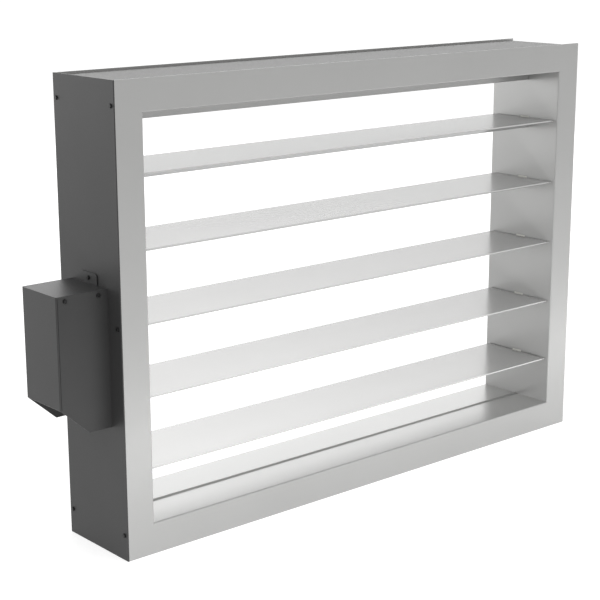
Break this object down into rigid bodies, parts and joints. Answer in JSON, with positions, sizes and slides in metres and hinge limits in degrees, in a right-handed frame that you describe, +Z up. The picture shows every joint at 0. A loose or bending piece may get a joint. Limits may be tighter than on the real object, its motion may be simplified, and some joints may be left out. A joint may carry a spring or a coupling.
{
  "type": "volume control damper",
  "caption": "Rectangular duct damper: flanged casing, geared opposed aerofoil blades shown open, dark side cover and drive box with actuator.",
  "frame": {"origin": "bottom centre of the whole object, drive box included", "axes": "+X along the blades, away from the drive box; +Y along the air flow, front to rear; +Z up"},
  "size_m": [0.8432, 0.122, 0.556],
  "materials": {
    "casing_sheet": "satin folded sheet",
    "dark_coating": "semi-gloss dark grey powder coating",
    "dark_screw": "blackened",
    "plated_steel": "zinc plated",
    "die_cast_clamp": "die cast, as cast",
    "blade_metal": "satin extrusion",
    "hub_plastic": "moulded glass-filled nylon",
    "gear_plastic": "moulded glass-filled nylon",
    "bush_plastic": "moulded acetal",
    "actuator_plastic": "moulded, fine texture",
    "gland_plastic": "moulded",
    "button_plastic": "moulded"
  },
  "bodies": {
    "casing": {"top_rail": "casing_sheet", "bottom_rail": "casing_sheet", "drive_side_stile": "casing_sheet", "idle_side_stile": "casing_sheet", "top_closing_plate": "casing_sheet", "bottom_closing_plate": "casing_sheet", "idle_closing_plate": "casing_sheet", "corner_angles": "casing_sheet", "drive_side_bushes": "bush_plastic", "idle_side_bushes": "bush_plastic", "top_filler_strip": "casing_sheet", "bottom_filler_strip": "casing_sheet", "side_cover": "dark_coating", "cover_screws": "dark_screw", "shaft_bush": "bush_plastic", "drive_box_shell": "dark_coating", "drive_box_top": "dark_coating", "drive_box_screws": "dark_screw", "actuator_case": "actuator_plastic", "actuator_bracket": "plated_steel", "bracket_screws": "plated_steel", "cable_gland": "gland_plastic"},
    "blade_1": {"blade_1": "blade_metal", "drive_hub_1": "hub_plastic", "idle_hub_1": "hub_plastic", "gear_1": "gear_plastic"},
    "blade_2": {"blade_2": "blade_metal", "drive_hub_2": "hub_plastic", "idle_hub_2": "hub_plastic", "gear_2": "gear_plastic"},
    "blade_3": {"blade_3": "blade_metal", "drive_hub_3": "hub_plastic", "idle_hub_3": "hub_plastic", "gear_3": "gear_plastic", "drive_shaft": "plated_steel", "actuator_clamp": "die_cast_clamp", "clamp_bolts": "plated_steel"},
    "blade_4": {"blade_4": "blade_metal", "drive_hub_4": "hub_plastic", "idle_hub_4": "hub_plastic", "gear_4": "gear_plastic"},
    "blade_5": {"blade_5": "blade_metal", "drive_hub_5": "hub_plastic", "idle_hub_5": "hub_plastic", "gear_5": "gear_plastic"},
    "release_button": {"release_button": "button_plastic"}
  },
  "joints": [
    {"name": "blade_3_turn", "type": "hinge", "parent": "casing", "child": "blade_3", "pos_m": [0, 0, 0.27123], "axis": [1, 0, 0], "range_deg": [0, 90]},
    {"name": "blade_1_turn", "type": "hinge", "parent": "casing", "child": "blade_1", "pos_m": [0, 0, 0.09803], "axis": [1, 0, 0], "range_deg": [0, 90]},
    {"name": "blade_2_turn", "type": "hinge", "parent": "casing", "child": "blade_2", "pos_m": [0, 0, 0.18463], "axis": [1, 0, 0], "range_deg": [-90, 0]},
    {"name": "blade_4_turn", "type": "hinge", "parent": "casing", "child": "blade_4", "pos_m": [0, 0, 0.35783], "axis": [1, 0, 0], "range_deg": [-90, 0]},
    {"name": "blade_5_turn", "type": "hinge", "parent": "casing", "child": "blade_5", "pos_m": [0, 0, 0.44443], "axis": [1, 0, 0], "range_deg": [0, 90]},
    {"name": "release_button_push", "type": "slide", "parent": "casing", "child": "release_button", "axis": [0, 0, 1], "range_m": [0, 0.003], "stiffness_N_per_m": 300}
  ],
  "couplings": [
    {"joint": "blade_1_turn", "follows": "blade_3_turn", "ratio": 1},
    {"joint": "blade_2_turn", "follows": "blade_3_turn", "ratio": -1},
    {"joint": "blade_4_turn", "follows": "blade_3_turn", "ratio": -1},
    {"joint": "blade_5_turn", "follows": "blade_3_turn", "ratio": 1}
  ]
}
